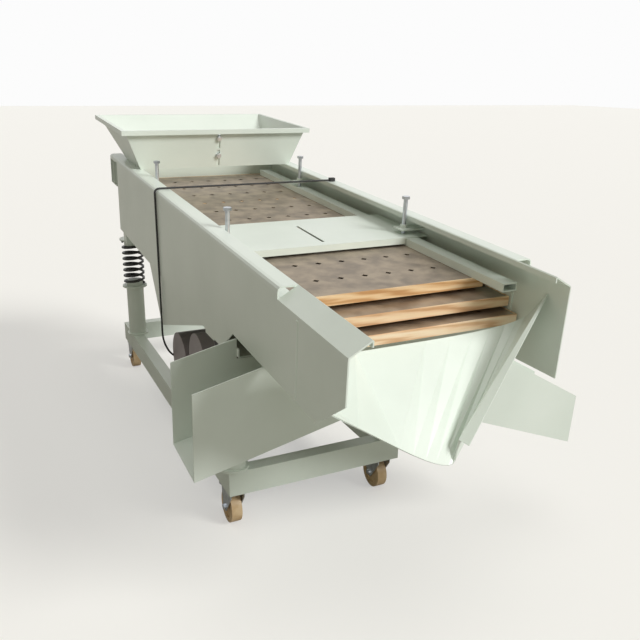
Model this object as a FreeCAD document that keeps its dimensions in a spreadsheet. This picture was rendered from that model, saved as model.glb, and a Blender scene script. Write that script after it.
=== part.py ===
import FreeCAD, Part
import math
import os
import Sketcher
from FreeCAD import Vector, Rotation, Placement

# Linear vibrating sieve: a wheeled tube base, four coil springs and an inclined screen box with
# three wood-framed screens, a feed hopper, two side chutes, a rolled front chute and two
# vibration motors. World frame: +X right, -Y discharge end, +Z up, origin on the floor below the
# middle of the front rail. Screen-box pieces are drawn in the box frame, whose Y runs up the
# incline and whose Z = 0 is the top of the side flanges, and get the tilt from their Placement.

SIZES = [
    ("caster_high", 131, "caster, floor to rail"),
    ("caster_inset_x", 33, "caster axis in from the rail's outer face"),
    ("caster_inset_y", 53, "caster axis in from the base's ends"),
    ("caster_plate_long", 92, "caster top plate, along Y"),
    ("caster_plate_wide", 62, "caster top plate, along X"),
    ("caster_plate_thick", 4, "caster top plate thickness"),
    ("race_dia", 52, "swivel race diameter"),
    ("race_high", 9, "swivel race height"),
    ("swivel_gap", 0.3, "gap between race and fork"),
    ("wheel_dia", 100, "wheel diameter"),
    ("wheel_wide", 32, "wheel width"),
    ("tread_thick", 14, "polyurethane tread thickness"),
    ("axle_dia", 10, "wheel axle diameter"),
    ("axle_clear", 0.05, "radial clearance of wheel on axle"),
    ("caster_trail", 30, "wheel axle behind the swivel axis"),
    ("fork_thick", 3, "fork sheet"),
    ("fork_clear", 3, "gap between fork cheek and wheel"),
    ("pedal_long", 44, "brake pedal length"),
    ("base_long", 1455, "base length"),
    ("base_wide", 560, "base width"),
    ("rail_high", 75, "base tube height"),
    ("rail_wide", 45, "base tube width"),
    ("rail_wall", 3, "base tube wall"),
    ("post_inset", 25, "spring axis in from the base's side"),
    ("post_behind", 120, "rear spring axis behind the first crossbeam's face"),
    ("post_front_y", 34, "front spring axis from the base's front"),
    ("post_dia", 70, "spring post diameter"),
    ("post_top", 425, "spring post top above the floor"),
    ("post_ring_dia", 88, "foot ring of the post"),
    ("post_ring_high", 8, "foot ring height"),
    ("seat_dia", 100, "lower spring seat diameter"),
    ("seat_thick", 6, "spring seat thickness"),
    ("spring_dia", 90, "spring outer diameter"),
    ("spring_wire", 11, "spring wire diameter"),
    ("spring_high", 194, "spring height at rest"),
    ("spring_turns", 7.5, "spring turns"),
    ("flange_top", 906, "side flange above the floor at the base's front"),
    ("tilt", 3.04, "incline of the box in degrees"),
    ("box_half", 321, "half width over the side plates"),
    ("sheet_thick", 3, "side plate sheet"),
    ("flange_wide", 48, "top flange width"),
    ("flange_lip", 14, "turned-down inner lip of the flange"),
    ("plate_rear", 1150, "rear edge of the side plates"),
    ("plate_deep", 275, "side plate depth"),
    ("plate_step", 205, "side plate depth at its front part"),
    ("step_front", 190, "front end of the depth step"),
    ("step_back", 100, "rear end of the depth step"),
    ("left_nose", 763, "front edge of the left plate"),
    ("left_low", 653, "front end of the left plate's bottom edge"),
    ("left_cut", 117, "depth of the left plate's front edge"),
    ("right_nose", 595, "front edge of the right plate"),
    ("right_deep", 250, "depth of the right plate's front edge"),
    ("flange_front", 460, "front end of the level flanges"),
    ("nose_drop", 26, "drop of the nose flange's outer edge"),
    ("seam_y", 560, "seam rod from the base's front"),
    ("seam_dia", 7, "seam rod diameter"),
    ("motor_plate_thick", 6, "motor side plate thickness"),
    ("motor_plate_front", 63, "front end of the motor side plate"),
    ("motor_plate_rear", 676, "rear end of the motor side plate"),
    ("motor_plate_tip", 530, "lowest corner of the motor side plate, along the box"),
    ("seat_slope", 20.3, "fall of the motor seat towards the rear, in degrees"),
    ("seat_drop", 4, "front edge of the motor seat below the side plates"),
    ("seat_plate", 10, "motor seat plate thickness"),
    ("seat_end", 70, "rear motor axis from the seat's rear edge"),
    ("cross_gap", 18, "gap between side plates and first crossbeam"),
    ("cross_space", 4, "gap between the two crossbeams"),
    ("cross_wide", 50, "rear crossbeam width"),
    ("cross_high", 96, "rear crossbeam height"),
    ("cross_drop", 14.3, "rear crossbeam top below the flange top"),
    ("cross_wall", 3, "rear crossbeam wall"),
    ("pan_drop", 262, "bottom pan below the flange top"),
    ("pan_front", 207, "front edge of the bottom pan from the base's front"),
    ("deck_front_a", 352, "front edge of the upper screen"),
    ("deck_front_b", 412, "front edge of the middle screen"),
    ("deck_front_c", 448, "front edge of the lower screen"),
    ("deck_end_gap", 30, "screens' rear edge ahead of the side plates' rear edge"),
    ("deck_side_gap", 9, "lower screens' side in from the box's side"),
    ("upper_inset", 45, "upper screen's side in from the box's side"),
    ("deck_thick", 24, "screen frame thickness"),
    ("deck_drop", 75, "upper screen's top below the flange top"),
    ("deck_pitch", 34, "height step between screens"),
    ("deck_batten", 42, "width of the screen frame's side battens"),
    ("mesh_thick", 2, "screen sheet thickness"),
    ("guide_wide", 24, "screen guide ledge width"),
    ("guide_thick", 4, "screen guide ledge thickness"),
    ("slide_gap", 0.4, "clearance of sliding pieces"),
    ("bar_inset", 57, "clamp bar axis in from the box's side"),
    ("bar_end_gap", 60, "clamp bars' rear end ahead of the side plates' rear edge"),
    ("bar_wide", 40, "clamp bar width"),
    ("bar_high", 20, "clamp bar height"),
    ("bar_wall", 2.5, "clamp bar wall"),
    ("bar_front", 464, "front end of the clamp bars"),
    ("tie_front", 40, "front edge of the cross plate"),
    ("tie_rear", 240, "rear edge of the cross plate"),
    ("tie_inset", 9, "cross plate's side in from the box's side"),
    ("tie_thick", 3, "cross plate sheet"),
    ("tie_lip", 18, "cross plate front lip"),
    ("screw_dia", 12, "clamp screw diameter"),
    ("screw_head", 19, "clamp screw head across flats"),
    ("screw_head_high", 8, "clamp screw head height"),
    ("screw_rise", 54, "clamp screw head above the flange top"),
    ("screw_mid_y", 10, "middle clamp screws, along the box"),
    ("screw_rear_y", 740, "rear clamp screws, along the box"),
    ("screw_clear", 0.1, "radial clearance of the clamp screws"),
    ("clamp_long", 48, "clamp bracket length"),
    ("clamp_drop", 36, "clamp bracket's lower arm below the flange top"),
    ("clamp_thick", 4, "clamp bracket strip"),
    ("nut_high", 10, "clamp nut height"),
    ("hopper_front", 857, "hopper rim front, along the box"),
    ("hopper_rear", 1375, "hopper rim rear, along the box"),
    ("hopper_over", 31, "hopper rim out past the box's side"),
    ("outlet_inset", 36, "hopper outlet in from the box's side"),
    ("outlet_gap", 20, "hopper outlet's rear ahead of the side plates' rear edge"),
    ("hopper_high", 138, "hopper rim above the flange top"),
    ("front_lean", 10.7, "lean of the hopper's front wall in degrees"),
    ("hopper_thick", 3, "hopper sheet"),
    ("rim_lip", 16, "hopper rim flange"),
    ("gate_inset", 45, "feed gate's side in from the outlet's side"),
    ("gate_high", 105, "feed gate height"),
    ("gate_thick", 3, "feed gate sheet"),
    ("gate_bolt_low", 44, "lower gate bolt above the flange top"),
    ("gate_bolt_high", 108, "upper gate bolt above the flange top"),
    ("gate_bolt_dia", 10, "gate bolt diameter"),
    ("gate_down", 30, "feed gate travel downwards"),
    ("gate_up", 10, "feed gate travel upwards"),
    ("chute_front", 384, "front wall of the side chutes"),
    ("chute_rear", 208, "rear wall of the side chutes"),
    ("chute_sheet", 3, "side chute sheet"),
    ("ridge_drop", 350, "chute ridge below the flange top"),
    ("left_end", 478, "outer end of the left chute"),
    ("left_end_drop", 462, "floor of the left chute's outer end"),
    ("left_wall_drop", 246, "wall top at the left chute's outer end"),
    ("right_end", 632, "outer end of the right chute"),
    ("right_end_drop", 603, "floor of the right chute's outer end"),
    ("right_wall_drop", 455, "wall top at the right chute's outer end"),
    ("spout_rear", 454, "rear edge of the front chute from the base's front"),
    ("spout_floor", 172, "front chute's rear edge below the flange top"),
    ("spout_high", 65, "top corner of the front chute below the flange top"),
    ("spout_high_y", 531, "top corner of the front chute from the base's front"),
    ("spout_lip_y", 640, "front chute lip from the base's front"),
    ("spout_lip_left", 176, "left end of the front chute lip below the flange top"),
    ("spout_lip_x", 18, "low corner of the front chute lip, right of the centre plane"),
    ("spout_lip_low", 407, "low corner of the front chute lip below the flange top"),
    ("spout_wall", 79, "height of the front chute's wall at the lip"),
    ("spout_flange", 28, "flange on the front chute's wall at the lip"),
    ("spout_sheet", 3, "front chute sheet"),
    ("motor_dia", 185, "vibration motor body diameter"),
    ("motor_long", 260, "vibration motor body length"),
    ("motor_cover", 160, "vibration motor end cover length"),
    ("motor_pitch", 214, "distance between the two motor axes"),
    ("motor_foot", 20, "motor foot thickness"),
    ("shaft_dia", 34, "motor shaft diameter"),
    ("shaft_clear", 0.05, "radial clearance of the shaft in its bearings"),
    ("weight_radius", 66, "radius of the eccentric weights"),
    ("weight_thick", 34, "thickness of the eccentric weights"),
    ("cord_dia", 6.5, "cord diameter"),
    ("cord_y", 528, "hanging run of the cord, along the box"),
    ("gland_dia", 20, "cord gland diameter"),
    ("gland_high", 22, "cord gland height"),
]

doc = FreeCAD.newDocument("VibratingSieve")
sheet = doc.addObject("Spreadsheet::Sheet", "Sizes")
ALIASES = [row[0] for row in SIZES]
for number, (alias, value, note) in enumerate(SIZES, 1):
    sheet.set("A%d" % number, note)
    sheet.set("B%d" % number, str(value))
    sheet.setAlias("B%d" % number, alias)
doc.recompute()

# Sizes that follow from the ones above.
FOLLOWING = {
    "post_x": "base_wide/2 - post_inset",
    "post_rear_y": "cross_y + post_behind",
    "cross_y": "plate_rear + cross_gap",
    "flange_rear": "cross_y + 2 * cross_wide + cross_space + 1",
    "deck_rear": "plate_rear - deck_end_gap",
    "deck_half": "box_half - deck_side_gap",
    "deck_half_a": "box_half - upper_inset",
    "bar_x": "box_half - bar_inset",
    "bar_rear": "plate_rear - bar_end_gap",
    "tie_half": "box_half - tie_inset",
    "hopper_half": "box_half + hopper_over",
    "outlet_half": "box_half - outlet_inset",
    "outlet_rear": "plate_rear - outlet_gap",
    "gate_half": "outlet_half - gate_inset",
}

PIECES = {}


def spelled(text, prefix=""):
    """A formula with the following sizes written out and a prefix on each name of the sheet."""
    words = []
    word = ""
    for sign in str(text) + " ":
        if sign.isalnum() or sign == "_":
            word += sign
            continue
        if word in FOLLOWING:
            word = "(%s)" % spelled(FOLLOWING[word], prefix)
        elif word in ALIASES:
            word = prefix + word
        words += [word, sign]
        word = ""
    return "".join(words).strip()


def link(text):
    """An expression that reads the sheet."""
    return spelled(text, "Sizes.")


def size(text):
    """Value of a formula of size names."""
    return float(doc.Sizes.evalExpression(spelled(text)))


def place(piece, x="0", y="0", z="0", tilted=False, lean="0"):
    """Bind the Placement; a tilted piece's x, y, z are box-frame values, and it may lean more."""
    if tilted:
        base_y = "(%s) * cos(tilt) - (%s) * sin(tilt)" % (y, z)
        base_z = "flange_top + (%s) * sin(tilt) + (%s) * cos(tilt)" % (y, z)
        piece.Placement = Placement(Vector(0, 0, 0), Rotation(Vector(1, 0, 0), 10))
        piece.setExpression("Placement.Rotation.Angle", link("tilt + (%s)" % lean))
    else:
        base_y = y
        base_z = z
    piece.setExpression("Placement.Base.x", link(x))
    piece.setExpression("Placement.Base.y", link(base_y))
    piece.setExpression("Placement.Base.z", link(base_z))


def body(name, x="0", y="0", z="0", tilted=False, lean="0"):
    """A PartDesign body that becomes one node."""
    made = doc.addObject("PartDesign::Body", "Body_" + name)
    made.Label = name
    place(made, x, y, z, tilted, lean)
    PIECES[name] = made
    return made


PLANES = {"x": "YZ_Plane", "y": "XZ_Plane", "z": "XY_Plane"}


def sketch(owner, axis, offset, rings=(), circles=()):
    """A fully dimensioned sketch of closed polygons and circles, square to an axis."""
    drawn = owner.newObject("Sketcher::SketchObject", "Sketch")
    plane = [item for item in owner.Origin.OriginFeatures if item.Role == PLANES[axis]][0]
    drawn.AttachmentSupport = [(plane, "")]
    drawn.MapMode = "FlatFace"
    signed = "-(%s)" % offset if axis == "y" else str(offset)
    drawn.setExpression("AttachmentOffset.Base.z", link(signed))
    for ring in rings:
        outline(drawn, ring)
    for across, up, radius in circles:
        middle = Vector(size(across), size(up), 0)
        item = drawn.addGeometry(Part.Circle(middle, Vector(0, 0, 1), size(radius)))
        pin(drawn, item, 3, across, up)
        number = drawn.addConstraint(Sketcher.Constraint("Radius", item, size(radius)))
        drawn.setExpression("Constraints[%d]" % number, link(radius))
    return drawn


def pin(drawn, item, point, across, up):
    """Dimension a sketch point from the origin."""
    for kind, text in (("DistanceX", across), ("DistanceY", up)):
        number = drawn.addConstraint(Sketcher.Constraint(kind, item, point, size(text)))
        drawn.setExpression("Constraints[%d]" % number, link(text))


def outline(drawn, ring):
    """Add one closed polygon, every corner dimensioned."""
    spots = [Vector(size(across), size(up), 0) for across, up in ring]
    first = drawn.GeometryCount
    total = len(spots)
    for number in range(total):
        line = Part.LineSegment(spots[number], spots[(number + 1) % total])
        drawn.addGeometry(line)
    for number in range(total):
        following = first + (number + 1) % total
        joined = Sketcher.Constraint("Coincident", first + number, 2, following, 1)
        drawn.addConstraint(joined)
    for number, (across, up) in enumerate(ring):
        pin(drawn, first + number, 1, across, up)


def pad(owner, axis, low, high, rings=(), circles=()):
    """Material between two stations along an axis."""
    start = high if axis == "y" else low
    feature = owner.newObject("PartDesign::Pad", "Pad")
    feature.Profile = sketch(owner, axis, start, rings, circles)
    feature.setExpression("Length", link("(%s) - (%s)" % (high, low)))
    return feature


def pocket(owner, axis, low, high, rings=(), circles=()):
    """Remove material between two stations along an axis, and check that it did."""
    doc.recompute()
    before = owner.Shape.Volume
    start = low if axis == "y" else high
    feature = owner.newObject("PartDesign::Pocket", "Pocket")
    feature.Profile = sketch(owner, axis, start, rings, circles)
    feature.setExpression("Length", link("(%s) - (%s)" % (high, low)))
    doc.recompute()
    if not owner.Shape.Volume < before - 0.001:
        raise ValueError("a pocket of %s removed nothing" % owner.Label)
    return feature


def box_ring(left, right, low, high):
    """Corners of a rectangle."""
    return [(left, low), (right, low), (right, high), (left, high)]


def feature(name, shape, x="0", y="0", z="0", tilted=False):
    """A piece whose shape is worked out in code from the sheet's sizes."""
    made = doc.addObject("Part::Feature", "Piece_" + name)
    made.Label = name
    made.Shape = shape
    place(made, x, y, z, tilted)
    PIECES[name] = made
    return made


# ---- base: welded tube frame, posts, springs ---------------------------------------------------
def base_frame():
    frame = body("base_frame", z="caster_high")
    for inner, outer in (("-base_wide/2 + rail_wide", "-base_wide/2"),
                         ("base_wide/2 - rail_wide", "base_wide/2")):
        pad(frame, "y", "0", "base_long", [box_ring(inner, outer, "0", "rail_high")])
    reach = "base_wide/2 - rail_wide"
    for near in ("0", "base_long - rail_wide"):
        ring = box_ring(near, "%s + rail_wide" % near, "0", "rail_high")
        pad(frame, "x", "-(%s)" % reach, reach, [ring])
    for side in ("-1", "1"):
        middle = "%s * (base_wide/2 - rail_wide/2)" % side
        hollow = box_ring("%s - rail_wide/2 + rail_wall" % middle,
                          "%s + rail_wide/2 - rail_wall" % middle,
                          "rail_wall", "rail_high - rail_wall")
        pocket(frame, "y", "rail_wall", "base_long - rail_wall", [hollow])
    for near in ("0", "base_long - rail_wide"):
        hollow = box_ring("%s + rail_wall" % near, "%s + rail_wide - rail_wall" % near,
                          "rail_wall", "rail_high - rail_wall")
        pocket(frame, "x", "-(%s)" % reach, reach, [hollow])


def mirrored(name, source, normal=(1, 0, 0), at="0"):
    """A node that holds a piece and its mirror image."""
    twin = doc.addObject("Part::Mirroring", "Mirror")
    twin.Source = source
    twin.Normal = Vector(*normal)
    axis = "xyz"[normal.index(1)]
    twin.setExpression("Base.%s" % axis, link(at))
    both = doc.addObject("Part::Compound", "Pair_" + name)
    both.Links = [source, twin]
    both.Label = name
    PIECES[name] = both
    return both


def lone(name, x="0", y="0", z="0", tilted=False, lean="0"):
    """A body that is only the pattern for a mirrored pair."""
    made = doc.addObject("PartDesign::Body", "Body_" + name)
    place(made, x, y, z, tilted, lean)
    return made


def spring_posts(name, y):
    post = lone(name, "post_x", y, "caster_high + rail_high")
    top = "post_top - caster_high - rail_high"
    pad(post, "z", "0", "post_ring_high", (), [("0", "0", "post_ring_dia/2")])
    pad(post, "z", "0", top, (), [("0", "0", "post_dia/2")])
    pad(post, "z", "%s - seat_thick" % top, top, (), [("0", "0", "seat_dia/2")])
    pad(post, "z", top, "%s + 2 * spring_wire" % top, (),
        [("0", "0", "spring_dia/2 - spring_wire - 1")])
    mirrored(name, post)


def coil_spring(name, side, y):
    """Wire helix as flat facets: a hexagonal section carried round in short steps."""
    wire = size("spring_wire/2")
    radius = size("spring_dia/2 - spring_wire/2")
    rise = size("spring_high - spring_wire") - 0.6
    steps = int(size("spring_turns") * 14)
    rings = []
    for step in range(steps + 1):
        share = step / steps
        turn = 2 * math.pi * size("spring_turns") * share
        ring = []
        for corner in range(6):
            angle = math.pi * corner / 3 + math.pi / 6
            out = radius + wire * math.cos(angle)
            up = rise * share + wire * math.sin(angle)
            ring.append(Vector(out * math.cos(turn), out * math.sin(turn), up))
        rings.append(ring)
    faces = [flat(rings[0]), flat(rings[-1])]
    for low, high in zip(rings, rings[1:]):
        for corner in range(6):
            after = (corner + 1) % 6
            faces.append(flat([low[corner], low[after], high[after]]))
            faces.append(flat([low[corner], high[after], high[corner]]))
    coil = Part.Solid(Part.Shell(faces))
    if coil.Volume < 0:
        coil.reverse()
    feature(name, coil, "%s * post_x" % side, y, "post_top + spring_wire/2 + 0.3")


def flat(spots):
    """A face through coplanar corners."""
    return Part.Face(Part.makePolygon(spots + [spots[0]]))


base_frame()
spring_posts("front_spring_posts", "post_front_y")
spring_posts("rear_spring_posts", "post_rear_y")
for end, station in (("front", "post_front_y"), ("rear", "post_rear_y")):
    coil_spring("coil_spring_%s_left" % end, "-1", station)
    coil_spring("coil_spring_%s_right" % end, "1", station)


# ---- casters -----------------------------------------------------------------------------------
AXLE_Z = "wheel_dia/2"
CROWN_TOP = "caster_high - caster_plate_thick - race_high - swivel_gap"
CHEEK_IN = "wheel_wide/2 + fork_clear"
PIVOT_Y = "caster_trail + 20"
PIVOT_Z = "(%s) - 11" % CROWN_TOP


def caster_plates():
    plate = lone("caster_plate", "base_wide/2 - caster_inset_x", "caster_inset_y", "caster_high")
    half = ("caster_plate_wide/2", "caster_plate_long/2")
    ring = box_ring("-" + half[0], half[0], "-" + half[1], half[1])
    pad(plate, "z", "-caster_plate_thick", "0", [ring])
    pad(plate, "z", "-caster_plate_thick - race_high", "0", (), [("0", "0", "race_dia/2")])
    side = mirrored("caster_plate_pair", plate)
    del PIECES["caster_plate_pair"]
    mirrored("caster_top_plates", side, (0, 1, 0), "base_long/2")


def caster_fork(name, x, y):
    fork = body(name, x, y)
    top = CROWN_TOP
    rear = "caster_trail + 26"
    wide = "(%s) + fork_thick" % CHEEK_IN
    crown = box_ring("-(%s)" % wide, wide, "-race_dia/2", rear)
    pad(fork, "z", "%s - fork_thick" % top, top, [crown])
    cheek = [("-race_dia/2", "%s - fork_thick" % top), ("-race_dia/2", "%s - 14" % top),
             ("caster_trail - 14", "wheel_dia/2 - 6"), ("caster_trail - 8", "wheel_dia/2 - 13"),
             ("caster_trail + 8", "wheel_dia/2 - 13"), ("caster_trail + 14", "wheel_dia/2 - 6"),
             (rear, "%s - 20" % top), (rear, "%s - fork_thick" % top)]
    pad(fork, "x", CHEEK_IN, wide, [cheek])
    pad(fork, "x", "-(%s)" % wide, "-(%s)" % CHEEK_IN, [cheek])
    pad(fork, "x", "-(%s)" % wide, wide, (), [("caster_trail", AXLE_Z, "axle_dia/2")])
    pad(fork, "x", "-(%s)" % wide, wide, (), [(PIVOT_Y, PIVOT_Z, "3")])
    for low, high in ((wide, "%s + 6" % wide), ("-(%s) - 6" % wide, "-(%s)" % wide)):
        pad(fork, "x", low, high, (), [("caster_trail", AXLE_Z, "axle_dia * 0.8")])


def turned(owner, profile):
    """Revolve a profile, drawn above the X axis, about that axis."""
    made = owner.newObject("PartDesign::Revolution", "Revolution")
    drawn = sketch(owner, "z", "0", [profile])
    made.Profile = drawn
    made.ReferenceAxis = (drawn, ["H_Axis"])
    made.Angle = 360
    return made


def caster_wheel(name, x, y):
    wheel = body(name, x, "%s + caster_trail" % y, AXLE_Z)
    half = "wheel_wide/2"
    hub = "wheel_wide/2 + fork_clear - 0.5"
    bore = "axle_dia/2 + axle_clear"
    side = [(hub, bore), (hub, "axle_dia"), ("%s - 4" % half, "axle_dia"),
            ("%s - 4" % half, "wheel_dia/2 - tread_thick"), (half, "wheel_dia/2 - tread_thick"),
            (half, "wheel_dia/2")]
    other = [("-(%s)" % across, up) for across, up in reversed(side)]
    turned(wheel, side + other)


def brake_pedal(name, x, y):
    pedal = body(name, x, "%s + %s" % (y, PIVOT_Y), PIVOT_Z)
    half = "(%s) - 0.5" % CHEEK_IN
    pad(pedal, "x", "-(%s)" % half, half, (), [("0", "0", "5.5")])
    lever = [("0", "-5.5"), ("12", "-4"), ("pedal_long - 6", "-13"), ("pedal_long", "-9"),
             ("pedal_long - 4", "-5"), ("14", "2"), ("0", "5.5")]
    pad(pedal, "x", "-(%s)" % half, half, [lever])
    pocket(pedal, "x", "-(%s)" % half, half, (), [("0", "0", "3.05")])


caster_plates()
for side, x in (("left", "-base_wide/2 + caster_inset_x"), ("right", "base_wide/2 - caster_inset_x")):
    for end, y in (("front", "caster_inset_y"), ("rear", "base_long - caster_inset_y")):
        caster_fork("caster_fork_%s_%s" % (end, side), x, y)
        caster_wheel("caster_wheel_%s_%s" % (end, side), x, y)
        brake_pedal("caster_brake_%s_%s" % (end, side), x, y)


# ---- screen box: folded side plates, seats and stiffeners --------------------------------------
INNER = "box_half - sheet_thick"


def folded(side, drop_out="0"):
    """Section of the folded top flange; side is 1 or -1."""
    if drop_out == "0":
        section = [("0", "-14"), ("1", "-6"), ("5", "-1.5"), ("12", "0")]
        under = [("12", "-sheet_thick"), ("6", "-sheet_thick - 2"), ("sheet_thick + 0.5", "-8"),
                 ("sheet_thick", "-14")]
    else:
        section = [("0", "-%s - 8" % drop_out), ("0.5", "-%s" % drop_out)]
        under = [("sheet_thick", "-%s - 2" % drop_out), ("sheet_thick", "-%s - 8" % drop_out)]
    section += [("flange_wide - 3", "0"), ("flange_wide", "-2"), ("flange_wide", "-flange_lip"),
                ("flange_wide - sheet_thick", "-flange_lip"),
                ("flange_wide - sheet_thick", "-sheet_thick - 1")]
    return [("%d * (box_half - (%s))" % (side, across), up) for across, up in section + under]


def side_plate(name, side, outline_ring, nose):
    plate = body(name, tilted=True)
    low, high = ("-box_half", "-(%s)" % INNER) if side < 0 else (INNER, "box_half")
    pad(plate, "x", low, high, [outline_ring])
    pad(plate, "y", "-flange_front", "flange_rear", [folded(side)])
    pad(plate, "y", "-(%s)" % nose, "-flange_front", [folded(side, "nose_drop")])
    return plate


def left_plate():
    ring = [("plate_rear", "-14"), ("plate_rear", "-plate_deep"), ("-step_back", "-plate_deep"),
            ("-step_front", "-plate_step"), ("-left_low", "-plate_step"),
            ("-left_nose", "-left_cut"), ("-left_nose", "-nose_drop - 8"),
            ("-flange_front", "-nose_drop - 8"), ("-flange_front", "-14")]
    plate = side_plate("left_side_plate", -1, ring, "left_nose")
    pad(plate, "z", "-plate_step + 6", "-nose_drop - 8", (),
        [("-box_half", "-seam_y", "seam_dia/2")])


def right_plate():
    ring = [("plate_rear", "-14"), ("plate_rear", "-plate_deep"), ("-step_back", "-plate_deep"),
            ("-right_nose", "-right_deep"), ("-right_nose", "-nose_drop - 8"),
            ("-flange_front", "-nose_drop - 8"), ("-flange_front", "-14")]
    side_plate("right_side_plate", 1, ring, "right_nose")


SEAT_FRONT_Z = "plate_deep + seat_drop"
SEAT_LONG = "(motor_plate_tip - motor_plate_front) / cos(seat_slope)"
PLATE_IN = "box_half - sheet_thick - motor_plate_thick"


def on_seat(along, above):
    """Box-frame y and z of a point given along and above the sloping motor seat."""
    y = "motor_plate_front + (%s) * cos(seat_slope) + (%s) * sin(seat_slope)" % (along, above)
    z = "-(%s) - (%s) * sin(seat_slope) + (%s) * cos(seat_slope)" % (SEAT_FRONT_Z, along, above)
    return y, z


def motor_plates():
    plate = lone("motor_plate", tilted=True)
    tip = "-(%s) - (motor_plate_tip - motor_plate_front) * tan(seat_slope)" % SEAT_FRONT_Z
    ring = [("motor_plate_front", "-plate_deep + 45"), ("motor_plate_front", "-(%s)" % SEAT_FRONT_Z),
            ("motor_plate_tip", tip), ("motor_plate_rear", "-plate_deep"),
            ("motor_plate_rear", "-plate_deep + 45")]
    pad(plate, "x", PLATE_IN, INNER, [ring])
    mirrored("motor_side_plates", plate)
    y, z = on_seat("0", "0")
    seat = body("motor_seat", "0", y, z, True, "-seat_slope")
    pad(seat, "z", "0", "seat_plate", [box_ring("-(%s)" % PLATE_IN, PLATE_IN, "0", SEAT_LONG)])


def crossbeams():
    beam = lone("crossbeam", "0", "cross_y", "-cross_drop", True)
    outer = box_ring("0", "cross_wide", "-cross_high", "0")
    inner = box_ring("cross_wall", "cross_wide - cross_wall", "cross_wall - cross_high",
                     "-cross_wall")
    pad(beam, "x", "-box_half", "box_half", [outer, inner])
    second = lone("crossbeam_rear", "0", "cross_y + cross_wide + cross_space", "-cross_drop", True)
    pad(second, "x", "-box_half", "box_half", [outer, inner])
    both = doc.addObject("Part::Compound", "Pair_rear_crossbeams")
    both.Links = [beam, second]
    both.Label = "rear_crossbeams"
    PIECES["rear_crossbeams"] = both


def box_sheets():
    wall = body("rear_wall", tilted=True)
    pad(wall, "y", "plate_rear - sheet_thick", "plate_rear",
        [box_ring("-(%s)" % INNER, INNER, "-plate_deep", "-flange_lip - 2")])
    half = "(%s)" % PLATE_IN
    ring = box_ring("-" + half, half, "-pan_front", "plate_rear - sheet_thick")
    pan = body("bottom_pan", tilted=True)
    pad(pan, "z", "-pan_drop", "sheet_thick - pan_drop", [ring])
    for low, high in (("-" + half, "sheet_thick - " + half), (half + " - sheet_thick", half)):
        pad(pan, "x", low, high, [box_ring("-pan_front", "plate_rear - sheet_thick",
                                           "-pan_drop", "22 - pan_drop")])


def guides():
    """Ledges that carry the three screens, joined by an upright strip on each side."""
    guide = lone("screen_guide", tilted=True)
    rear = "plate_rear - sheet_thick"
    low = "-deck_drop - 2 * deck_pitch - deck_thick - slide_gap"
    pad(guide, "x", "%s - guide_thick" % INNER, INNER,
        [box_ring("-deck_front_c + 30", rear, "%s - guide_thick" % low, "-deck_drop - deck_thick")])
    for level, front, half in (("0", "deck_front_a", "deck_half_a"),
                               ("1", "deck_front_b", "deck_half"),
                               ("2", "deck_front_c", "deck_half")):
        top = "-deck_drop - %s * deck_pitch - deck_thick - slide_gap" % level
        pad(guide, "z", "%s - guide_thick" % top, top,
            [box_ring("%s - guide_wide" % half, INNER, "30 - %s" % front, rear)])
    mirrored("screen_guides", guide)


def spring_brackets():
    """Front brackets reach in under the side plates, rear ones hang from the crossbeams."""
    lift = "post_top + spring_high + 0.3"
    front = lone("front_bracket", "post_x", "post_front_y", lift)
    half = "seat_dia/2"
    pad(front, "z", "0", "seat_thick", (), [("0", "0", half)])
    pad(front, "z", "-2 * spring_wire", "0", (), [("0", "0", "spring_dia/2 - spring_wire - 1")])
    reach = "(%s) - post_x" % INNER
    up = "flange_top - plate_deep + 60 - (%s)" % lift
    pad(front, "x", "%s - motor_plate_thick" % reach, reach,
        [[("-" + half, "0"), ("20", "0"), ("20", up), ("-" + half, up)]])
    web = "flange_top - pan_drop - 4 - (%s)" % lift
    pad(front, "y", "-3", "3", [box_ring("-30", "%s - 6" % reach, "seat_thick", web)])
    mirrored("front_spring_brackets", front)
    rear = lone("rear_bracket", "post_x", "post_rear_y", lift)
    pad(rear, "z", "0", "seat_thick", (), [("0", "0", half)])
    pad(rear, "z", "-2 * spring_wire", "0", (), [("0", "0", "spring_dia/2 - spring_wire - 1")])
    under = "flange_top + (post_rear_y + (%s)) * tan(tilt)"
    under += " - (cross_drop + cross_high) / cos(tilt) - (%s)" % lift
    column = [("-70", "0"), ("-14", "0"), ("-14", under % "-14"), ("-70", under % "-70")]
    pad(rear, "x", "-35", "35", [column])
    pad(rear, "x", "-4", "4", [[("-14", "seat_thick"), ("44", "seat_thick"), ("-14", "120")]])
    mirrored("rear_spring_brackets", rear)


left_plate()
right_plate()
motor_plates()
crossbeams()
box_sheets()
guides()
spring_brackets()


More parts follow.
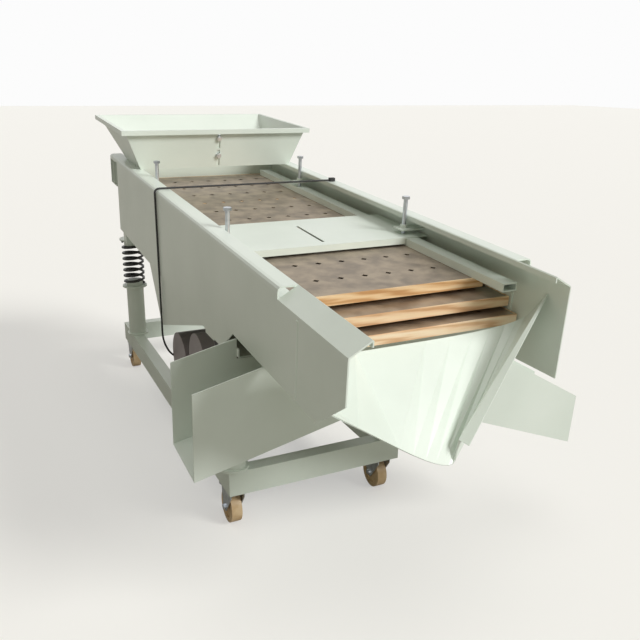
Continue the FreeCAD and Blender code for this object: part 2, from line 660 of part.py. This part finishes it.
# ---- screens: wooden frames with a sheet let in flush with the top -----------------------------
def screen(letter, level, front, half, across, along, hole):
    top = "-deck_drop - %s * deck_pitch" % level
    frame = body("screen_frame_" + letter, "0", "0", top, True)
    pad(frame, "z", "-deck_thick", "0", [box_ring("-" + half, half, "-" + front, "deck_rear")])
    inside = "%s - deck_batten" % half
    span = "(deck_rear + %s - deck_batten) / 3" % front
    for number in range(3):
        low = "deck_batten - %s + %d * (%s)" % (front, number, span)
        window = box_ring("-(%s)" % inside, inside, low, "%s + (%s) - deck_batten" % (low, span))
        pocket(frame, "z", "-deck_thick", "0", [window])
    pocket(frame, "z", "-mesh_thick", "0",
           [box_ring("5 - " + half, half + " - 5", "5 - " + front, "deck_rear - 5")])
    wide = size(half) - 5
    near = 5 - size(front)
    far = size("deck_rear") - 5
    holes = []
    for column in range(across):
        for row in range(along):
            x = (column + 0.5) * 2 * (wide - 40) / across - (wide - 40)
            y = near + 40 + (row + 0.5) * (far - near - 80) / along
            corners = [Vector(x - hole, y, 0), Vector(x, y - hole, 0), Vector(x + hole, y, 0),
                       Vector(x, y + hole, 0)]
            holes.append(Part.makePolygon(corners + [corners[0]]))
    rim = [Vector(-wide, near, 0), Vector(wide, near, 0), Vector(wide, far, 0),
           Vector(-wide, far, 0)]
    face = Part.makeFace([Part.makePolygon(rim + [rim[0]])] + holes, "Part::FaceMakerBullseye")
    mesh = face.extrude(Vector(0, 0, size("mesh_thick")))
    feature("screen_sheet_" + letter, mesh, "0", "0", top + " - mesh_thick", True)


screen("upper", "0", "deck_front_a", "deck_half_a", 7, 11, 9)
screen("middle", "1", "deck_front_b", "deck_half", 6, 10, 12)
screen("lower", "2", "deck_front_c", "deck_half", 5, 9, 15)


# ---- clamp frame and its screws ----------------------------------------------------------------
BAR_LOW = "-deck_drop + slide_gap"
TIE_LOW = "-deck_drop + slide_gap + bar_high"


def clamp_bar(name, side):
    bar = body(name, "%s * bar_x" % side, "0", BAR_LOW, True)
    outer = box_ring("-bar_wide/2", "bar_wide/2", "0", "bar_high")
    inner = box_ring("bar_wall - bar_wide/2", "bar_wide/2 - bar_wall", "bar_wall",
                     "bar_high - bar_wall")
    pad(bar, "y", "-bar_front", "bar_rear", [outer, inner])


def cross_plate():
    tie = body("cross_plate", "0", "0", TIE_LOW, True)
    pad(tie, "z", "0", "tie_thick", [box_ring("-tie_half", "tie_half", "-tie_front", "tie_rear")])
    lip = "bar_x - bar_wide/2 - 2"
    pad(tie, "y", "-tie_front", "tie_thick - tie_front",
        [box_ring("-(%s)" % lip, lip, "tie_thick - tie_lip", "0")])
    pocket(tie, "z", "0", "tie_thick", [box_ring("-4", "4", "30 - tie_front", "tie_rear - 70")])


def hexagon(x, y, across_flats):
    """Corners of a hexagon with two flats square to X."""
    ring = []
    for number in range(6):
        angle = 60 * number + 30
        reach = "(%s) / 2 / cos(30)" % across_flats
        ring.append(("(%s) + %s * cos(%d)" % (x, reach, angle),
                     "(%s) + %s * sin(%d)" % (y, reach, angle)))
    return ring


def clamp_screw(name, side, y, tip):
    screw = body(name, "%s * bar_x" % side, y, "0", True)
    pad(screw, "z", tip, "screw_rise - screw_head_high", (), [("0", "0", "screw_dia/2")])
    pad(screw, "z", "screw_rise - screw_head_high", "screw_rise",
        [hexagon("0", "0", "screw_head")])


def clamp_brackets(name, y):
    holder = lone(name, "0", y, "0", True)
    low = "-clamp_drop - clamp_thick"
    tip = "bar_x - bar_wide/2"
    ring = [(INNER, low), (tip, low), (tip, "-clamp_drop"), (INNER + " - clamp_thick", "-clamp_drop"),
            (INNER + " - clamp_thick", "-flange_lip - 2"), (INNER, "-flange_lip - 2")]
    pad(holder, "y", "-clamp_long/2", "clamp_long/2", [ring])
    pad(holder, "z", "-clamp_drop", "nut_high - clamp_drop", [hexagon("bar_x", "0", "screw_head")])
    pocket(holder, "z", low, "nut_high - clamp_drop", (),
           [("bar_x", "0", "screw_dia/2 + screw_clear")])
    mirrored(name, holder)


clamp_bar("clamp_bar_left", "-1")
clamp_bar("clamp_bar_right", "1")
cross_plate()
for side, sign in (("left", "-1"), ("right", "1")):
    clamp_screw("clamp_screw_mid_" + side, sign, "screw_mid_y", TIE_LOW + " + tie_thick + 0.1")
    clamp_screw("clamp_screw_rear_" + side, sign, "screw_rear_y", TIE_LOW + " + 0.1")
clamp_brackets("clamp_brackets_mid", "screw_mid_y")
clamp_brackets("clamp_brackets_rear", "screw_rear_y")


# ---- feed hopper and gate ----------------------------------------------------------------------
RIM = "12"
OUTLET_FRONT = "hopper_front + %s + hopper_high * tan(front_lean)" % RIM


def hopper():
    made = body("feed_hopper", tilted=True)
    walls = []
    for wall, low, high in (("0", "0", "hopper_high"),
                            ("hopper_thick", "-1", "hopper_high + 1")):
        rings = []
        for level in (low, high):
            share = "((%s) / hopper_high)" % level
            spread = "(hopper_half - %s - outlet_half) * %s" % (RIM, share)
            front = "%s - (%s - hopper_front - %s) * %s" % (OUTLET_FRONT, OUTLET_FRONT, RIM, share)
            rear = "outlet_rear + (hopper_rear - %s - outlet_rear) * %s" % (RIM, share)
            half = size("outlet_half + %s - %s" % (spread, wall))
            near = size("%s + %s" % (front, wall))
            far = size("%s - %s" % (rear, wall))
            up = size(level)
            rings.append([Vector(-half, near, up), Vector(half, near, up), Vector(half, far, up),
                          Vector(-half, far, up)])
        faces = [flat(rings[0]), flat(rings[1])]
        for number in range(4):
            after = (number + 1) % 4
            faces.append(flat([rings[0][number], rings[0][after], rings[1][after],
                               rings[1][number]]))
        walls.append(Part.Solid(Part.Shell(faces)))
    base = made.newObject("PartDesign::FeatureBase", "Walls")
    sleeve = doc.addObject("Part::Feature", "HopperWalls")
    sleeve.Shape = walls[0].cut(walls[1])
    base.BaseFeature = sleeve
    doc.recompute()
    wall = "%s + hopper_thick" % RIM
    outer = box_ring("-hopper_half", "hopper_half", "hopper_front", "hopper_rear")
    inner = box_ring("-hopper_half + %s" % wall, "hopper_half - %s" % wall,
                     "hopper_front + %s" % wall, "hopper_rear - %s" % wall)
    pad(made, "z", "hopper_high - hopper_thick", "hopper_high", [outer, inner])
    thin = box_ring("hopper_thick - hopper_half", "hopper_half - hopper_thick",
                    "hopper_front + hopper_thick", "hopper_rear - hopper_thick")
    pad(made, "z", "hopper_high - rim_lip", "hopper_high", [outer, thin])
    half = "gate_bolt_dia/2 + 0.5"
    for middle in ("gate_bolt_low", "gate_bolt_high"):
        slot = box_ring("-(%s)" % half, half, "%s - gate_down - (%s) - 3" % (middle, half),
                        "%s + gate_up + (%s) + 3" % (middle, half))
        pocket(made, "y", "hopper_front + 5", "hopper_front + 60", [slot])


def feed_gate():
    near = "hopper_thick + slide_gap"
    gate = body("feed_gate", "0", OUTLET_FRONT, "0", True, "front_lean")
    pad(gate, "y", near, "%s + gate_thick" % near,
        [box_ring("-gate_half", "gate_half", "2", "gate_high + 14")])
    pocket(gate, "y", near, "%s + gate_thick" % near, (),
           [("0", "gate_bolt_low", "gate_bolt_dia/2 + 0.05"),
            ("0", "gate_bolt_high", "gate_bolt_dia/2 + 0.05")])
    bolts = []
    for station in ("gate_bolt_low", "gate_bolt_high"):
        bolt = lone("gate_bolt", "0", OUTLET_FRONT, "0", True, "front_lean")
        pad(bolt, "y", "-slide_gap - 10", "%s + gate_thick + 9" % near, (),
            [("0", station, "gate_bolt_dia/2")])
        pad(bolt, "y", "-slide_gap - 7.5", "-slide_gap", [hexagon("0", station, "gate_bolt_dia * 1.7")])
        pad(bolt, "y", "%s + gate_thick" % near, "%s + gate_thick + 7" % near,
            [hexagon("0", station, "gate_bolt_dia * 1.7")])
        bolts.append(bolt)
    both = doc.addObject("Part::Compound", "Pair_gate_bolts")
    both.Links = bolts
    both.Label = "gate_bolts"
    PIECES["gate_bolts"] = both


hopper()
feed_gate()


# ---- side chutes -------------------------------------------------------------------------------
def side_chute(name, side, end, end_drop, wall_drop, under_drop):
    made = body(name, tilted=True)
    tip = "%d * %s" % (side, end)
    floor = [("0", "-ridge_drop"), (tip, "-%s" % end_drop), (tip, "chute_sheet - %s" % end_drop),
             ("0", "chute_sheet - ridge_drop")]
    pad(made, "y", "-chute_front", "-chute_rear", [floor])
    outside = "%d * (box_half + 1)" % side
    inside = "%d * (%s)" % (side, INNER)
    for low, inner_top in (("-chute_front", "-plate_step + 8"),
                           ("-chute_rear - chute_sheet", "-pan_drop")):
        wall = [("0", "-ridge_drop"), (tip, "-%s" % end_drop), (tip, "-%s" % wall_drop),
                (outside, under_drop), (inside, under_drop), (inside, inner_top), ("0", inner_top)]
        pad(made, "y", low, "%s + chute_sheet" % low, [wall])
    return made


side_chute("left_chute", -1, "left_end", "left_end_drop", "left_wall_drop", "-plate_step - 4")
side_chute("right_chute", 1, "right_end", "right_end_drop", "right_wall_drop", "-plate_deep - 2")


# ---- front chute: one sheet rolled from a flat floor into a standing wall ----------------------
def rolled_corner(start, corner, end, share, steps):
    """Polyline from start to end whose corner is a smooth bend."""
    inward = corner + (start - corner) * share
    outward = corner + (end - corner) * share
    line = [start, start + (inward - start) * 0.5]
    for number in range(steps + 1):
        part = number / steps
        spot = inward * (1 - part) ** 2 + corner * (2 * part * (1 - part))
        line.append(spot + outward * part ** 2)
    return line + [end]


def front_chute():
    left_x = 1.3 - size(INNER)
    right_x = size(INNER) - 3.5
    rear_y = -size("spout_rear")
    floor = -size("spout_floor")
    left = Vector(left_x, rear_y, floor)
    low_right = Vector(right_x, rear_y, floor)
    high_right = Vector(right_x, -size("spout_high_y"), -size("spout_high"))
    left_front = Vector(left_x, -size("spout_lip_y"), -size("spout_lip_left"))
    lip_corner = Vector(size("spout_lip_x"), -size("spout_lip_y"), -size("spout_lip_low"))
    wall_end = lip_corner + Vector(14, 8, size("spout_wall"))
    rear = rolled_corner(left, low_right, high_right, 0.42, 7)
    front = rolled_corner(left_front, lip_corner, wall_end, 0.42, 7)
    run = (high_right - wall_end).normalize()
    away = run.cross(Vector(0, 0, 1)).normalize()
    rear.append(high_right + away * 3)
    front.append(wall_end + away * size("spout_flange") - run * 2)
    thick = size("spout_sheet")
    upper = list(zip(rear, front))
    lower = []
    for number, (back, ahead) in enumerate(upper):
        before = upper[max(number - 1, 0)]
        after = upper[min(number + 1, len(upper) - 1)]
        if number == len(upper) - 2:
            after = upper[number]
        across = (after[0] - before[0]) + (after[1] - before[1])
        normal = across.cross(ahead - back).normalize() * thick
        lower.append((back + normal, ahead + normal))
    faces = []
    for side in (upper, lower):
        for one, two in zip(side, side[1:]):
            faces.append(flat([one[0], two[0], two[1]]))
            faces.append(flat([one[0], two[1], one[1]]))
    for end in (0, 1):
        for number in range(len(upper) - 1):
            a, b = upper[number][end], upper[number + 1][end]
            c, d = lower[number + 1][end], lower[number][end]
            faces.append(flat([a, b, c]))
            faces.append(flat([a, c, d]))
    for number in (0, len(upper) - 1):
        a, b = upper[number]
        d, c = lower[number]
        faces.append(flat([a, b, c]))
        faces.append(flat([a, c, d]))
    solid = Part.Solid(Part.Shell(faces))
    if solid.Volume < 0:
        solid.reverse()
    feature("front_chute", solid, "0", "0", "0", True)


front_chute()


# ---- vibration motors: cast housing, caps and a shaft with eccentric weights --------------------
def half_disc(radius):
    """Lower half of a disc, a little more than half round."""
    ring = []
    for number in range(9):
        angle = 180 + 22.5 * number
        ring.append(("%s * cos(%s)" % (radius, angle), "%s * sin(%s) - 0.5" % (radius, angle)))
    return ring


def motor(name, along):
    y, z = on_seat(along, "-(motor_foot + motor_dia/2)")
    at = ("0", y, z, True, "-seat_slope")
    half = "motor_long/2"
    radius = "motor_dia/2"
    housing = body(name + "_housing", *at)
    pad(housing, "x", "-" + half, half, (), [("0", "0", radius)])
    foot = box_ring("-64", "64", "motor_dia * 0.3", "%s + motor_foot" % radius)
    pad(housing, "x", "-motor_long * 0.42", "motor_long * 0.42", [foot])
    rail = box_ring("%s - 16" % radius, "%s + 26" % radius, "-34", "34")
    pad(housing, "x", "-60", "10", [rail])
    pocket(housing, "x", "-" + half, half, (), [("0", "0", "shaft_dia/2 + shaft_clear")])
    cap = lone(name + "_cap", *at)
    outer = "%s - 8" % radius
    pad(cap, "x", half, "%s + motor_cover" % half, (), [("0", "0", outer)])
    pocket(cap, "x", half, "%s + motor_cover - 5" % half, (), [("0", "0", "%s - 4" % outer)])
    mirrored(name + "_covers", cap)
    shaft = body(name + "_shaft", *at)
    reach = "%s + motor_cover - 12" % half
    pad(shaft, "x", "-(%s)" % reach, reach, (), [("0", "0", "shaft_dia/2")])
    for start in ("%s + 12" % half, "%s + 20 + weight_thick" % half):
        for low, high in ((start, "%s + weight_thick" % start),
                          ("-(%s) - weight_thick" % start, "-(%s)" % start)):
            pad(shaft, "x", low, high, [half_disc("weight_radius")])


REAR_MOTOR = "%s - seat_end" % SEAT_LONG
motor("motor_rear", REAR_MOTOR)
motor("motor_front", "%s - motor_pitch" % REAR_MOTOR)


# ---- cord: from the rear motor up over the left flange and across to the right one --------------
def in_world(y, z):
    """World y and z of a box-frame point."""
    turn = math.radians(size("tilt"))
    return (y * math.cos(turn) - z * math.sin(turn),
            size("flange_top") + y * math.sin(turn) + z * math.cos(turn))


def tube(points, radii, section):
    """Straight runs joined by tangent arcs."""
    edges = []
    here = points[0]
    for number in range(1, len(points) - 1):
        before, corner, after = points[number - 1:number + 2]
        back = (before - corner)
        ahead = (after - corner)
        half = (math.pi - back.getAngle(ahead)) / 2
        radius = 0.45 * min(back.Length, ahead.Length) / math.tan(half)
        radius = radii.get(number, radius)
        reach = radius * math.tan(half)
        back.normalize()
        ahead.normalize()
        start = corner + back * reach
        end = corner + ahead * reach
        middle = (back + ahead).normalize()
        top = corner + middle * (radius / math.cos(half) - radius)
        edges.append(Part.LineSegment(here, start).toShape())
        edges.append(Part.Arc(start, top, end).toShape())
        here = end
        print("cord bend", number, "radius", round(radius, 1))
    edges.append(Part.LineSegment(here, points[-1]).toShape())
    path = Part.Wire(edges)
    normal = (points[1] - points[0]).normalize()
    side = normal.cross(Vector(0, 0, 1)).normalize()
    above = normal.cross(side)
    corners = [points[0] + (side * math.cos(math.pi * k / 4) + above * math.sin(math.pi * k / 4))
               * (section / 2) for k in range(8)]
    ring = Part.makePolygon(corners + [corners[0]])
    swept = path.makePipeShell([ring], True, True)
    print("cord length", round(path.Length, 1), "volume share",
          round(swept.Volume / (path.Length * math.sqrt(2) * section ** 2 / 2), 4))
    return swept


def cord():
    thick = size("cord_dia")
    y_seat, z_seat = on_seat(REAR_MOTOR, "-(motor_foot + motor_dia/2)")
    fall = math.radians(size("tilt - seat_slope"))
    base_y, base_z = in_world(size(y_seat), size(z_seat))
    arm = size("motor_dia/2 + gland_dia/2") + 3
    y_in = base_y + arm * math.cos(fall)
    z_in = base_z + arm * math.sin(fall)
    x_in = -60 - size("gland_high")
    side = -(size("box_half") + thick / 2 + 0.4)
    y_up = size("cord_y")
    top = in_world(y_up, 0)[1] + thick / 2 + 0.9
    end = size("box_half - flange_wide") + 8
    points = [Vector(x_in, y_in, z_in), Vector(x_in - 66, y_in + 3, z_in - 12),
              Vector(x_in - 142, y_in - 3, z_in - 18), Vector(side + 32, y_in - 12, z_in + 6),
              Vector(side, y_up, z_in + 70), Vector(side, y_up, top), Vector(end, y_up, top)]
    feature("motor_cord", tube(points, {5: 14}, thick))
    ring = size("gland_dia/2")
    gland = Part.makeCylinder(ring, size("gland_high"), Vector(-60, y_in, z_in), Vector(-1, 0, 0))
    low = top - thick / 2 - 0.4
    clip = Part.makeBox(18, 16, thick + 5, Vector(end, y_up - 8, low))
    feature("cord_glands", Part.makeCompound([gland, clip]))


cord()


# ---- checks and export -------------------------------------------------------------------------
doc.recompute()
for item in doc.Objects:
    if "Invalid" in item.State or "Error" in item.State:
        raise ValueError("%s did not build: %s" % (item.Label, item.State))
os.makedirs("parts", exist_ok=True)
for name, piece in sorted(PIECES.items()):
    shape = piece.Shape
    if shape.isNull() or not shape.isValid() or not shape.Solids:
        raise ValueError("%s has no valid solid" % name)
    shape.exportStep(os.path.join("parts", name + ".step"))
print("pieces", len(PIECES))
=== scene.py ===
# %% [markdown]
# # A wheeled linear vibrating sieve
# The machine is folded sheet steel and square tube, painted a pale green white, on four coil
# springs and four braked casters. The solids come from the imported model, and this file dresses them
# in paint, pine, zinc and steel. It adds no piece of its own: the springs, the cord and the screens
# are shown as their solids.

# %% Load the frame
import math

import bpy
from mathutils import Matrix, Vector

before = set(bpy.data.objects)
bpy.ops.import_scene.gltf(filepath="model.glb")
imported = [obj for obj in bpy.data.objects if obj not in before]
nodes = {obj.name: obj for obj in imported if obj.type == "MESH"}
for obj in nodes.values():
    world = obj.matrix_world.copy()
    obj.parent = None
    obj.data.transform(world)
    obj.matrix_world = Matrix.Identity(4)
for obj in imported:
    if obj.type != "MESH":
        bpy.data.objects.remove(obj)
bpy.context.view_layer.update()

# %% [markdown]
# ## Colours and nodes
# Colours are written as the hex values that a paint card would give, and one function turns them to
# the linear values that a shader needs. A second one adds a node with its settings and links.

# %% Colour and node helpers
def colour(text):
    """Linear RGBA of an sRGB hex colour."""
    parts = [int(text[i:i + 2], 16) / 255 for i in (1, 3, 5)]
    linear = [p / 12.92 if p <= 0.04045 else ((p + 0.055) / 1.055) ** 2.4 for p in parts]
    return (*linear, 1.0)


def add(tree, kind, inputs=None, **settings):
    """Add a node; inputs maps a socket name or number to a value or to another node's output."""
    node = tree.nodes.new(kind)
    for name, value in settings.items():
        setattr(node, name, value)
    for key, value in (inputs or {}).items():
        if isinstance(value, bpy.types.NodeSocket):
            tree.links.new(value, node.inputs[key])
        else:
            node.inputs[key].default_value = value
    return node


def material(name, roughness, metallic=0.0, **sockets):
    """An empty Principled material; returns it with its tree and shader node."""
    made = bpy.data.materials.new(name)
    made.use_nodes = True
    tree = made.node_tree
    shader = tree.nodes["Principled BSDF"]
    shader.inputs["Roughness"].default_value = roughness
    shader.inputs["Metallic"].default_value = metallic
    for key, value in sockets.items():
        shader.inputs[key.replace("_", " ")].default_value = value
    return made, tree, shader


def wobble(tree, scale, detail=3.0, stretch=(1, 1, 1)):
    """Noise on Object coordinates; scale is in patterns a metre."""
    where = add(tree, "ShaderNodeTexCoord")
    placed = add(tree, "ShaderNodeMapping", {"Vector": where.outputs["Object"], "Scale": stretch})
    return add(tree, "ShaderNodeTexNoise",
               {"Vector": placed.outputs[0], "Scale": scale, "Detail": detail}).outputs["Fac"]


def ramp(tree, source, stops):
    """Colour ramp from a list of (position, hex colour)."""
    node = add(tree, "ShaderNodeValToRGB", {"Fac": source})
    band = node.color_ramp
    while len(band.elements) < len(stops):
        band.elements.new(0.5)
    for element, (place, tone) in zip(band.elements, stops):
        element.position = place
        element.color = colour(tone)
    return node.outputs["Color"]


def bump(tree, shader, height, strength, distance):
    """Drive the shader's normal from a height."""
    node = add(tree, "ShaderNodeBump", {"Height": height, "Strength": strength,
                                        "Distance": distance})
    tree.links.new(node.outputs[0], shader.inputs["Normal"])


# %% [markdown]
# ## Painted sheet steel
# The whole machine is sprayed with one coat of satin enamel. Sprayed enamel has a faint orange peel
# a millimetre or two across, and on big folded sheets the colour drifts a little where the coat is
# thin or dusty. So the base colour wanders between three close tones and the bump is very low.

# %% Sprayed enamel
def sprayed_enamel(name, tones, roughness):
    """Satin enamel; tones are the thin, usual and thick coat."""
    made, tree, shader = material(name, roughness, Coat_Weight=0.25, Coat_Roughness=0.18)
    drift = wobble(tree, 3.5, 5.0)
    tree.links.new(ramp(tree, drift, [(0.3, tones[0]), (0.5, tones[1]), (0.72, tones[2])]),
                   shader.inputs["Base Color"])
    sheen = add(tree, "ShaderNodeMapRange", {"Value": wobble(tree, 12, 4.0), "To Min":
                                             roughness - 0.07, "To Max": roughness + 0.1})
    tree.links.new(sheen.outputs[0], shader.inputs["Roughness"])
    bump(tree, shader, wobble(tree, 420, 2.0), 0.12, 0.0004)
    return made


enamel = sprayed_enamel("sprayed_enamel_pale_green", ("#D9E2D8", "#DFE8DE", "#E4ECE3"), 0.36)
enamel_base = sprayed_enamel("sprayed_enamel_on_tube", ("#D3DCD1", "#DAE3D8", "#E0E8DE"), 0.42)
motor_enamel = sprayed_enamel("stoved_motor_enamel", ("#7E7678", "#8A8183", "#938B8C"), 0.4)

# %% [markdown]
# ## Zinc, spring enamel, steel, rubber and plastic
# Clamp screws, bolts and caster forks are zinc plated: bright, a little blue, with soft clouding. The
# springs are dipped in black enamel. The upper screen's sheet is finished as drawn wire and the two
# below as perforated sheet, all brown with grain dust. The cord and its glands share one black
# plastic. Metals keep the default IOR.

# %% Metals, rubber and plastics
def plated(name, tones, roughness, cloud):
    """A metal whose colour and gloss cloud at one scale."""
    made, tree, shader = material(name, roughness, 1.0)
    clouds = wobble(tree, cloud, 4.0)
    tree.links.new(ramp(tree, clouds, [(0.35, tones[0]), (0.65, tones[1])]),
                   shader.inputs["Base Color"])
    gloss = add(tree, "ShaderNodeMapRange", {"Value": clouds, "To Min": roughness - 0.08,
                                             "To Max": roughness + 0.12})
    tree.links.new(gloss.outputs[0], shader.inputs["Roughness"])
    bump(tree, shader, wobble(tree, cloud * 9, 2.0), 0.15, 0.0002)
    return made


def dull(name, tones, roughness, cloud, grain):
    """A paint, rubber or plastic with a clouded colour and a fine grain."""
    made, tree, shader = material(name, roughness)
    tree.links.new(ramp(tree, wobble(tree, cloud, 4.0), [(0.35, tones[0]), (0.65, tones[1])]),
                   shader.inputs["Base Color"])
    bump(tree, shader, wobble(tree, grain, 2.0), 0.25, 0.0003)
    return made


zinc = plated("zinc_plate", ("#B9BEC4", "#D4D8DB"), 0.3, 60)
turned = plated("turned_steel", ("#A5A7A9", "#C0C1C2"), 0.28, 90)
wire = plated("dusty_drawn_wire", ("#8B8072", "#A79A88"), 0.5, 25)
perforated = plated("dusty_perforated_sheet", ("#9A8D7C", "#B5A896"), 0.48, 18)
spring_enamel = dull("dipped_black_enamel", ("#1B1A19", "#2C2A28"), 0.38, 30, 700)
tread = dull("cast_polyurethane", ("#C7A97E", "#D8BE97"), 0.42, 40, 500)
moulded = dull("moulded_polyamide", ("#161616", "#242424"), 0.5, 50, 800)


# %% [markdown]
# ## Sawn pine
# The screens are tacked to frames of sawn pine. Each batten is cut along the grain, so the grain
# follows X on the front and rear battens. A stretched noise bends a band pattern into growth
# lines about six millimetres apart, and a finer one gives the saw's fuzz.

# %% Pine
def sawn_pine(name, tones, drop):
    """Pine; tones run from late to early growth, and drop moves the grain."""
    made, tree, shader = material(name, 0.62)
    where = add(tree, "ShaderNodeTexCoord")
    placed = add(tree, "ShaderNodeMapping", {"Vector": where.outputs["Object"],
                                             "Location": (drop, drop, drop),
                                             "Scale": (0.09, 1.0, 1.0)})
    bands = add(tree, "ShaderNodeTexWave",
                {"Vector": placed.outputs[0], "Scale": 26, "Distortion": 7.0, "Detail": 3.0,
                 "Detail Scale": 1.6}, bands_direction="DIAGONAL")
    growth = ramp(tree, bands.outputs["Fac"],
                  [(0.0, tones[0]), (0.45, tones[1]), (1.0, tones[2])])
    shade = ramp(tree, wobble(tree, 9, 4.0, (0.3, 1, 1)), [(0.3, "#E2D3BE"), (0.6, "#FFFFFF")])
    mixed = add(tree, "ShaderNodeMix", {"Factor": 0.55, "A": growth, "B": shade},
                data_type="RGBA", blend_type="MULTIPLY")
    tree.links.new(mixed.outputs[2], shader.inputs["Base Color"])
    bump(tree, shader, wobble(tree, 260, 3.0, (0.15, 1, 1)), 0.3, 0.0004)
    return made


pines = {
    "upper": sawn_pine("sawn_pine_upper", ("#C99A66", "#E3BE8E", "#F0D3A8"), 0.0),
    "middle": sawn_pine("sawn_pine_middle", ("#CFA378", "#E8C49A", "#F3D9B4"), 0.37),
    "lower": sawn_pine("sawn_pine_lower", ("#D6AD84", "#ECCBA4", "#F5DFBF"), 0.81),
}

# %% [markdown]
# ## Finishing the solids
# Every node gets one material, chosen by what its name says it is. Whatever isn't named here is
# sheet steel in the pale enamel.

# %% Coat the solids
def finish_of(name):
    """The material for a node's name."""
    if name.startswith(("base_", "front_spring_posts", "rear_spring_posts")):
        return enamel_base
    if name.startswith(("caster_fork", "caster_brake", "caster_top", "clamp_screw", "gate_bolts")):
        return zinc
    if name.startswith("caster_wheel"):
        return tread
    if name.startswith("coil_spring"):
        return spring_enamel
    if name.startswith("screen_frame"):
        return pines[name.split("_")[-1]]
    if name.startswith("screen_sheet"):
        return wire if name.endswith("upper") else perforated
    if name.endswith("_shaft"):
        return turned
    if name.startswith("motor_") and name.endswith(("housing", "covers")):
        return motor_enamel
    if name in ("cord_glands", "motor_cord"):
        return moulded
    return enamel


for name in nodes:
    data = nodes[name].data
    data.materials.clear()
    data.materials.append(finish_of(name))
print("coated", len(nodes))

# %% [markdown]
# ## Floor, light and camera
# The machine stands on a plain pale floor. One large key light from the right and front, low enough
# to light the faces that look forwards, a soft one from above, and a weak warm fill. The world is
# white to the camera and in reflections only.

# %% Floor
FLOOR_HALF = 30
FLOOR_GLOW = 0.42

corners = [(-FLOOR_HALF, -FLOOR_HALF, 0), (FLOOR_HALF, -FLOOR_HALF, 0),
           (FLOOR_HALF, FLOOR_HALF, 0), (-FLOOR_HALF, FLOOR_HALF, 0)]
floor_data = bpy.data.meshes.new("floor")
floor_data.from_pydata(corners, [], [(0, 1, 2, 3)])
floor = bpy.data.objects.new("floor", floor_data)
bpy.context.collection.objects.link(floor)


def pale_floor():
    """A matt floor that the camera sees a little paler than its own colour."""
    made, tree, shader = material("pale_floor", 0.9)
    path = add(tree, "ShaderNodeLightPath")
    glow = add(tree, "ShaderNodeEmission", {"Color": colour("#FFFFFF"), "Strength": FLOOR_GLOW})
    shader.inputs["Base Color"].default_value = colour("#B9B7B0")
    both = add(tree, "ShaderNodeAddShader", {0: shader.outputs[0], 1: glow.outputs[0]})
    seen = add(tree, "ShaderNodeMixShader", {"Fac": path.outputs["Is Camera Ray"],
                                             1: shader.outputs[0], 2: both.outputs[0]})
    tree.links.new(seen.outputs[0], tree.nodes["Material Output"].inputs["Surface"])
    return made


floor_data.materials.append(pale_floor())

# %% World
FILL = 0.3


def room():
    """A weak warm fill that looks white to the camera and in reflections."""
    made = bpy.data.worlds.new("room")
    made.use_nodes = True
    tree = made.node_tree
    back = tree.nodes["Background"]
    back.inputs["Color"].default_value = colour("#D9D2C0")
    back.inputs["Strength"].default_value = FILL
    white = add(tree, "ShaderNodeBackground", {"Color": colour("#FCFCFC"), "Strength": 1.0})
    path = add(tree, "ShaderNodeLightPath")
    either = add(tree, "ShaderNodeMath", {0: path.outputs["Is Camera Ray"],
                                          1: path.outputs["Is Glossy Ray"]}, operation="MAXIMUM")
    mixed = add(tree, "ShaderNodeMixShader", {"Fac": either.outputs[0], 1: back.outputs[0],
                                              2: white.outputs[0]})
    tree.links.new(mixed.outputs[0], tree.nodes["World Output"].inputs["Surface"])
    return made


bpy.context.scene.world = room()


# %% Lamps
def lamp(name, kind, power, aim, **settings):
    """A light that shines along aim."""
    data = bpy.data.lights.new(name, kind)
    data.energy = power
    for key, value in settings.items():
        setattr(data, key, value)
    made = bpy.data.objects.new(name, data)
    made.rotation_euler = Vector(aim).to_track_quat("-Z", "Y").to_euler()
    bpy.context.collection.objects.link(made)


lamp("key", "SUN", 2.6, (-0.55, 0.72, -0.62), angle=0.35)
lamp("top", "SUN", 0.7, (0.1, 0.15, -1.0), angle=0.8)

# %% Camera
YAW, PITCH, ROLL = 0.453, 0.323, 0.017
CAMERA_PLACE = (-0.848, -1.736, 1.276)
LENS_MM, SENSOR_MM = 40.9, 36
FARTHEST = 200

ahead = Vector((math.sin(YAW) * math.cos(PITCH), math.cos(YAW) * math.cos(PITCH),
                -math.sin(PITCH)))
level = Vector((math.cos(YAW), -math.sin(YAW), 0))
above = level.cross(ahead)
right = level * math.cos(ROLL) + above * math.sin(ROLL)
above = above * math.cos(ROLL) - level * math.sin(ROLL)
camera = bpy.data.objects.new("camera", bpy.data.cameras.new("camera"))
camera.data.lens = LENS_MM
camera.data.sensor_width = SENSOR_MM
camera.data.clip_end = FARTHEST
turn = Matrix((right, above, -ahead)).transposed().to_4x4()
camera.matrix_world = Matrix.Translation(CAMERA_PLACE) @ turn
bpy.context.collection.objects.link(camera)
scene = bpy.context.scene
scene.camera = camera
scene.view_settings.view_transform = "Standard"
